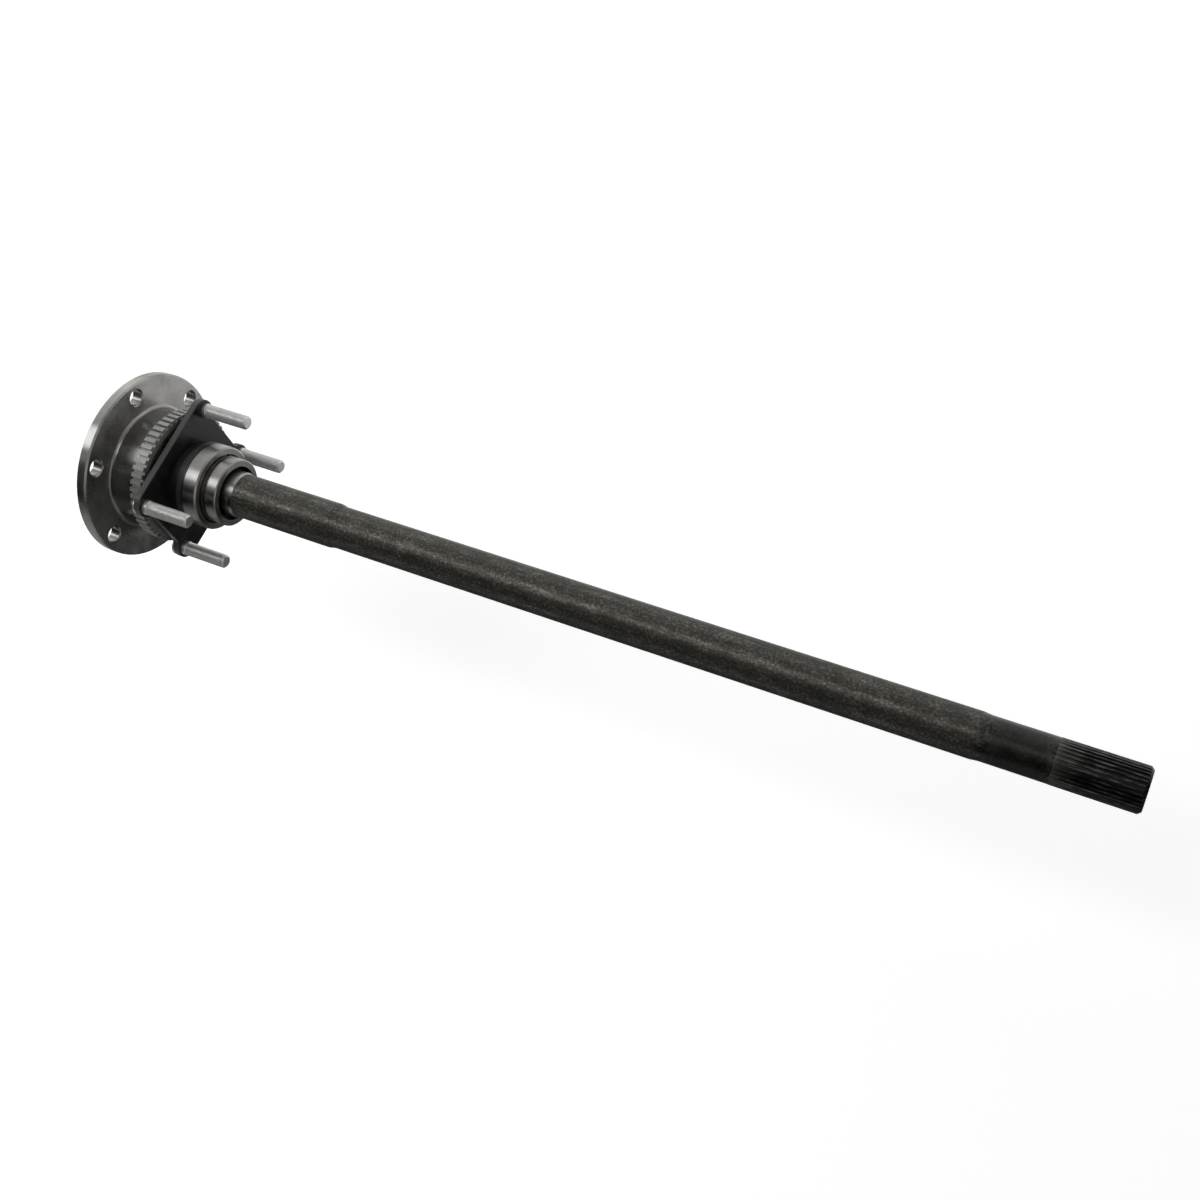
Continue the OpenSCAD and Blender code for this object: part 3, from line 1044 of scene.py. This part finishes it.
class AXLE_OT_finish_shaft(Operator):
    """Give the axle its turned, ground, forged and oiled zones"""

    bl_idname = "axle.finish_shaft"
    bl_label = "Finish shaft"

    def execute(self, context):
        sizes = context.scene.axle_sizes
        colours = context.scene.axle_colours
        shaft = NODES["axle_shaft"]
        finishes = [
            turned_steel(colours),
            ground_steel("ground_journal_steel", colours.ground, gloss_low=0.28, gloss_high=0.34),
            forge_scale(colours),
            oiled_neck(colours, sizes),
            oiled_spline(colours, sizes),
            ground_steel("fine_turned_hub_steel", colours.hub, gloss_low=0.2, gloss_high=0.26),
        ]
        turned, ground, scaled, neck, spline, hub = range(len(finishes))
        wear(shaft, *finishes)
        starts = {
            ground: JOURNAL_START,
            scaled: sizes.journal_end,
            neck: sizes.neck_start,
            spline: sizes.spline_start,
        }
        for face in shaft.data.polygons:
            place = face.center.x
            zones = [zone for zone, start in starts.items() if place > start]
            face.material_index = max(zones, default=turned)
            rolled = sizes.flange_face < place < sizes.fillet_end
            if rolled and face.center.yz.length < sizes.fillet_radius:
                face.material_index = ground
            if sizes.fillet_end < place < RING_START and abs(face.normal.x) < WALL:
                face.material_index = hub
        return {"FINISHED"}


class AXLE_OT_finish_ring(Operator):
    """Give the toothed speed ring its sintered finish"""

    bl_idname = "axle.finish_ring"
    bl_label = "Finish speed ring"

    def execute(self, context):
        wear(NODES["speed_ring"], sintered_steel(context.scene.axle_colours))
        return {"FINISHED"}


class AXLE_OT_finish_plate(Operator):
    """Paint the bearing retainer plate"""

    bl_idname = "axle.finish_plate"
    bl_label = "Paint retainer plate"

    def execute(self, context):
        colours = context.scene.axle_colours
        plate = NODES["retainer_plate"]
        wear(
            plate,
            dip_paint("black_dip_paint", colours.paint, colours.scale_mid),
            dip_paint("lighter_paint_on_plate_edge", colours.edge, colours.scale_mid),
        )
        # The wall of the plate's bore lies inside the bearing's radius and keeps the black paint
        bearing_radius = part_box("bearing_cup")[1].z
        for face in plate.data.polygons:
            outside = face.center.yz.length > bearing_radius
            face.material_index = int(outside and abs(face.normal.x) < FACING)
        return {"FINISHED"}


class AXLE_OT_thread_studs(Operator):
    """Model the four retainer studs with real threads"""

    bl_idname = "axle.thread_studs"
    bl_label = "Thread studs"

    def execute(self, context):
        sizes = context.scene.axle_sizes
        off_y = STUD_HIGH.y - sizes.head_radius
        off_z = STUD_HIGH.z - sizes.head_radius
        crease = math.radians(35)
        mesh = bpy.data.meshes.new("threaded_studs")
        bm = bmesh.new()
        for y in (-off_y, off_y):
            for z in (-off_z, off_z):
                self.add_shank(bm, sizes, Vector((0, y, z)))
                self.add_thread(bm, sizes, Vector((0, y, z)))
        bmesh.ops.recalc_face_normals(bm, faces=bm.faces)
        for edge in bm.edges:
            edge.smooth = edge.calc_face_angle(math.pi) < crease
        for face in bm.faces:
            face.smooth = True
        bm.to_mesh(mesh)
        bm.free()
        studs = bpy.data.objects.new("threaded_studs", mesh)
        context.scene.collection.objects.link(studs)
        wear(studs, zinc_flake(context.scene.axle_colours))
        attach(studs, "retainer")
        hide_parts("retainer_studs")
        return {"FINISHED"}

    def add_shank(self, bm, sizes, axis):
        """Spin the head, the pressed shank and the plain shoulder of one stud."""
        shoulder = PLATE_HIGH.x + sizes.shoulder_length
        rim = sizes.head_radius
        shank = sizes.shank_radius
        cut = sizes.edge_break
        outline = [
            (STUD_LOW.x, 0.0),
            (STUD_LOW.x, rim - cut),
            (STUD_LOW.x + cut, rim),
            (PLATE_LOW.x, rim),
            (PLATE_LOW.x, shank),
            (shoulder - cut, shank),
            (shoulder, shank - cut),
            (shoulder, 0.0),
        ]
        points = [bm.verts.new(axis + Vector((x, 0, r))) for x, r in outline]
        lines = [bm.edges.new(pair) for pair in zip(points, points[1:])]
        bmesh.ops.spin(
            bm,
            geom=points + lines,
            cent=axis,
            axis=(1, 0, 0),
            angle=math.tau,
            steps=sizes.thread_steps,
            use_merge=True,
        )
        bmesh.ops.remove_doubles(bm, verts=bm.verts, dist=MERGE)

    def add_thread(self, bm, sizes, axis):
        """Screw one thread tooth along the stud, trim both ends and bevel the tip."""
        pitch = sizes.thread_pitch
        steps = sizes.thread_steps
        crest = sizes.stud_radius
        root = crest - THREAD_DEPTH * pitch
        root_flat = pitch / 4
        crest_flat = pitch / 8
        flank = (pitch - root_flat - crest_flat) / 2
        overlap = 0.3 * MM
        start = PLATE_HIGH.x + sizes.shoulder_length - overlap
        end = STUD_HIGH.x
        spare_turns = 2
        turns = math.ceil((end - start) / pitch) + spare_turns
        tooth = [
            (0.0, root),
            (root_flat, root),
            (root_flat + flank, crest),
            (root_flat + flank + crest_flat, crest),
            (pitch, root),
        ]
        part = bmesh.new()
        points = [part.verts.new(axis + Vector((start - pitch + x, 0, r))) for x, r in tooth]
        lines = [part.edges.new(pair) for pair in zip(points, points[1:])]
        bmesh.ops.spin(
            part,
            geom=points + lines,
            cent=axis,
            axis=(1, 0, 0),
            dvec=(pitch / steps, 0, 0),
            angle=math.tau * turns,
            steps=steps * turns,
        )
        bmesh.ops.remove_doubles(part, verts=part.verts, dist=MERGE)
        for place, way in ((start, -1), (end, 1)):
            bmesh.ops.bisect_plane(
                part,
                geom=part.verts[:] + part.edges[:] + part.faces[:],
                plane_co=(place, 0, 0),
                plane_no=(way, 0, 0),
                clear_outer=True,
            )
        bmesh.ops.remove_doubles(part, verts=part.verts, dist=MERGE)
        rims = [edge for edge in part.edges if edge.is_boundary]
        bmesh.ops.holes_fill(part, edges=rims, sides=0)
        for vert in part.verts:
            limit = crest - sizes.stud_bevel + (end - vert.co.x)
            offset = vert.co - axis
            offset.x = 0
            if offset.length > limit:
                vert.co -= offset * (1 - limit / offset.length)
        bmesh.ops.recalc_face_normals(part, faces=part.faces)
        scrap = bpy.data.meshes.new("thread")
        part.to_mesh(scrap)
        part.free()
        bm.from_mesh(scrap)
        bpy.data.meshes.remove(scrap)


class AXLE_OT_finish_seal(Operator):
    """Give the oil seal its rubber, case and spring finishes"""

    bl_idname = "axle.finish_seal"
    bl_label = "Finish oil seal"

    def execute(self, context):
        colours = context.scene.axle_colours
        wear(NODES["seal_case"], seal_rubber("rubber_coated_seal_case", colours.paint, gloss=0.42))
        wear(NODES["seal_lip"], seal_rubber("nitrile_seal_lip", colours.rubber, gloss=0.55))
        wire = ground_steel("drawn_spring_wire", colours.ring, gloss_low=0.25, gloss_high=0.35)
        wear(NODES["garter_spring"], wire)
        return {"FINISHED"}


class AXLE_OT_finish_bearing(Operator):
    """Give the tapered roller bearing its ground rings, rollers and pressed cage"""

    bl_idname = "axle.finish_bearing"
    bl_label = "Finish bearing"

    def execute(self, context):
        colours = context.scene.axle_colours
        rings = ground_steel("ground_bearing_steel", colours.ground, gloss_low=0.3, gloss_high=0.38)
        cage = ground_steel("pressed_cage_steel", colours.turned_light, gloss_low=0.3, gloss_high=0.42)
        # Rollers darkened so the gap between cup and cone shows black: grease, and painted shade in the
        # gap
        greased = ground_steel("greased_and_shaded_roller_steel", colours.scale_mid, gloss_low=0.3, gloss_high=0.4)
        wear(NODES["bearing_cup"], rings)
        wear(NODES["bearing_cone"], rings)
        wear(NODES["bearing_cage"], cage)
        for name, node in NODES.items():
            if name.startswith("roller_"):
                wear(node, greased)
        return {"FINISHED"}


class AXLE_OT_finish_collar(Operator):
    """Give the lock collar its ground finish and painted shade in its relief"""

    bl_idname = "axle.finish_collar"
    bl_label = "Finish lock collar"

    def execute(self, context):
        colours = context.scene.axle_colours
        sizes = context.scene.axle_sizes
        collar = NODES["lock_collar"]
        wear(
            collar,
            ground_steel("ground_collar_steel", colours.ground, gloss_low=0.3, gloss_high=0.38),
            ground_steel("painted_shade_relief_steel", colours.oil_black_and_painted_shade, gloss_low=0.4, gloss_high=0.5),
        )
        end_margin = 0.1 * MM
        end_face = COLLAR_END - end_margin
        # Faces in the relief, short of its end face, get near-black steel: painted shade in the recess
        for face in collar.data.polygons:
            inside = face.center.yz.length < sizes.relief_radius
            face.material_index = int(inside and face.center.x < end_face)
        return {"FINISHED"}


class AXLE_OT_build_studio(Operator):
    """Set up the white floor, the softboxes and the camera"""

    bl_idname = "axle.build_studio"
    bl_label = "Build studio"

    def execute(self, context):
        studio = context.scene.axle_studio
        scene = context.scene
        self.add_camera(scene, studio)
        self.add_floor(scene, studio)
        self.add_world(scene, studio)
        aim = Vector(studio.lamp_aim)
        overhead = Vector(studio.overhead_place)
        rear = Vector(studio.rear_place)
        overhead_size = studio.overhead_size
        self.add_softbox(scene, "overhead_softbox", overhead, aim, overhead_size, studio.overhead_power)
        self.add_softbox(scene, "rear_softbox", rear, aim, studio.rear_size, studio.rear_power)
        for card in CARDS:
            self.add_card(scene, card, -studio.floor_drop)
        scene.view_settings.view_transform = "Standard"
        return {"FINISHED"}

    def add_camera(self, scene, studio):
        """Stand the camera where the photograph was taken."""
        data = bpy.data.cameras.new("photo_camera")
        data.lens = studio.lens
        data.sensor_width = studio.sensor
        camera = bpy.data.objects.new("photo_camera", data)
        scene.collection.objects.link(camera)
        place = Vector(studio.camera_place)
        back = (place - Vector(studio.camera_aim)).normalized()
        right = Vector(studio.camera_up).cross(back).normalized()
        up = back.cross(right)
        turn = Matrix((right, up, back)).transposed().to_4x4()
        camera.matrix_world = Matrix.Translation(place) @ turn
        scene.camera = camera

    def shown_rays(self, tree):
        """One for the rays that show the background, straight, mirrored or through glass."""
        path = put(tree, "ShaderNodeLightPath")
        seen = put(
            tree,
            "ShaderNodeMath",
            {0: path.outputs["Is Camera Ray"], 1: path.outputs["Is Glossy Ray"]},
            operation="MAXIMUM",
        )
        shown = put(
            tree,
            "ShaderNodeMath",
            {0: seen.outputs[0], 1: path.outputs["Is Transmission Ray"]},
            operation="MAXIMUM",
        )
        return shown.outputs[0]

    def add_floor(self, scene, studio):
        """Lay a white floor that glows only as seen or mirrored and keeps the shadow."""
        material, tree = start_material("white_studio_floor")
        place = put(tree, "ShaderNodeTexCoord").outputs["Object"]
        away = put(tree, "ShaderNodeVectorMath", {0: place}, operation="LENGTH")
        # The lamps fade away from the part, so the glow makes up for them there
        level = put(
            tree,
            "ShaderNodeMapRange",
            {
                "Value": away.outputs["Value"],
                "From Min": studio.glow_start,
                "From Max": studio.glow_end,
                "To Min": studio.glow_near,
                "To Max": studio.glow_far,
            },
        )
        lift = put(
            tree,
            "ShaderNodeMath",
            {0: self.shown_rays(tree), 1: level.outputs[0]},
            operation="MULTIPLY",
        )
        glow = put(tree, "ShaderNodeEmission", {"Strength": lift.outputs[0]})
        matt = put(tree, "ShaderNodeBsdfDiffuse", {"Color": opaque(studio.floor_colour)})
        both = put(tree, "ShaderNodeAddShader", {0: matt.outputs[0], 1: glow.outputs[0]})
        put(tree, "ShaderNodeOutputMaterial", {"Surface": both.outputs[0]})
        mesh = bpy.data.meshes.new("studio_floor")
        bm = bmesh.new()
        bmesh.ops.create_grid(bm, x_segments=1, y_segments=1, size=studio.floor_reach)
        bmesh.ops.translate(bm, verts=bm.verts, vec=(0, 0, -studio.floor_drop))
        bm.to_mesh(mesh)
        bm.free()
        floor = bpy.data.objects.new("studio_floor", mesh)
        scene.collection.objects.link(floor)
        wear(floor, material)

    def add_card(self, scene, card, floor):
        """Set up a flag or card, dark or lit, that only the metal's reflections see."""
        material, tree = start_material(card.name + "_cloth")
        cloth = put(tree, "ShaderNodeBsdfDiffuse", {"Color": opaque(linear(card.tone))})
        light = put(tree, "ShaderNodeEmission", {"Strength": card.glow})
        both = put(tree, "ShaderNodeAddShader", {0: cloth.outputs[0], 1: light.outputs[0]})
        put(tree, "ShaderNodeOutputMaterial", {"Surface": both.outputs[0]})
        mesh = bpy.data.meshes.new(card.name)
        bm = bmesh.new()
        # A square metre is drawn out to the card's size
        half_metre = 0.5
        bmesh.ops.create_grid(bm, x_segments=1, y_segments=1, size=half_metre)
        bmesh.ops.scale(bm, verts=bm.verts, vec=(*card.size, 1))
        if card.hinge:
            turn = Matrix.Rotation(-math.pi / 2, 3, card.hinge)
            bmesh.ops.rotate(bm, verts=bm.verts, matrix=turn)
        bmesh.ops.translate(bm, verts=bm.verts, vec=Vector(card.middle) + Vector((0, 0, floor)))
        bm.to_mesh(mesh)
        bm.free()
        sheet = bpy.data.objects.new(card.name, mesh)
        scene.collection.objects.link(sheet)
        wear(sheet, material)
        sheet.visible_camera = False
        sheet.visible_diffuse = False
        sheet.visible_shadow = False

    def add_world(self, scene, studio):
        """Surround the part with a grey room that looks white near the horizon."""
        world = bpy.data.worlds.new("grey_room")
        world.use_nodes = True
        tree = world.node_tree
        tree.nodes.clear()
        view = put(tree, "ShaderNodeTexCoord").outputs["Generated"]
        split = put(tree, "ShaderNodeSeparateXYZ", {0: view})
        wall = put(
            tree,
            "ShaderNodeMapRange",
            {
                "Value": split.outputs["Z"],
                "From Min": studio.wall_top,
                "From Max": studio.wall_fade,
                "To Min": 1.0 - studio.ambient,
                "To Max": 0.0,
            },
        )
        level = put(
            tree,
            "ShaderNodeMath",
            {0: self.shown_rays(tree), 1: wall.outputs[0], 2: studio.ambient},
            operation="MULTIPLY_ADD",
        )
        room = put(tree, "ShaderNodeBackground", {"Color": (1, 1, 1, 1), "Strength": level.outputs[0]})
        put(tree, "ShaderNodeOutputWorld", {"Surface": room.outputs[0]})
        scene.world = world

    def add_softbox(self, scene, name, place, aim, size, power):
        """Hang one softbox that faces the part, with its length along the axle."""
        data = bpy.data.lights.new(name, "AREA")
        data.shape = "RECTANGLE"
        data.size, data.size_y = size
        data.energy = power
        lamp = bpy.data.objects.new(name, data)
        scene.collection.objects.link(lamp)
        back = (place - aim).normalized()
        side = (Vector((1, 0, 0)) - back * back.x).normalized()
        up = back.cross(side)
        turn = Matrix((side, up, back)).transposed().to_4x4()
        lamp.matrix_world = Matrix.Translation(place) @ turn


class AXLE_PT_panel(Panel):
    """Lists the steps that dress the axle shaft"""

    bl_idname = "AXLE_PT_panel"
    bl_label = "Axle shaft"
    bl_space_type = "VIEW_3D"
    bl_region_type = "UI"
    bl_category = "Axle"

    def draw(self, context):
        for step in STEPS:
            self.layout.operator(step.bl_idname)
        for group in ("axle_sizes", "axle_colours", "axle_studio"):
            settings = getattr(context.scene, group)
            box = self.layout.box()
            for key in settings.__annotations__:
                box.prop(settings, key)


GROUPS = {
    "axle_sizes": AxleSizes,
    "axle_colours": AxleColours,
    "axle_studio": StudioSettings,
}
STEPS = (
    AXLE_OT_finish_shaft,
    AXLE_OT_finish_ring,
    AXLE_OT_finish_plate,
    AXLE_OT_thread_studs,
    AXLE_OT_finish_seal,
    AXLE_OT_finish_bearing,
    AXLE_OT_finish_collar,
    AXLE_OT_build_studio,
)


def register():
    for name, group in GROUPS.items():
        bpy.utils.register_class(group)
        setattr(bpy.types.Scene, name, PointerProperty(type=group))
    for step in STEPS:
        bpy.utils.register_class(step)
    bpy.utils.register_class(AXLE_PT_panel)


def unregister():
    bpy.utils.unregister_class(AXLE_PT_panel)
    for step in reversed(STEPS):
        bpy.utils.unregister_class(step)
    for name, group in reversed(GROUPS.items()):
        delattr(bpy.types.Scene, name)
        bpy.utils.unregister_class(group)


def main():
    register()
    bpy.ops.axle.finish_shaft()
    bpy.ops.axle.finish_ring()
    bpy.ops.axle.finish_plate()
    bpy.ops.axle.thread_studs()
    bpy.ops.axle.finish_seal()
    bpy.ops.axle.finish_bearing()
    bpy.ops.axle.finish_collar()
    bpy.ops.axle.build_studio()
    bpy.context.view_layer.update()


if __name__ == "__main__":
    main()
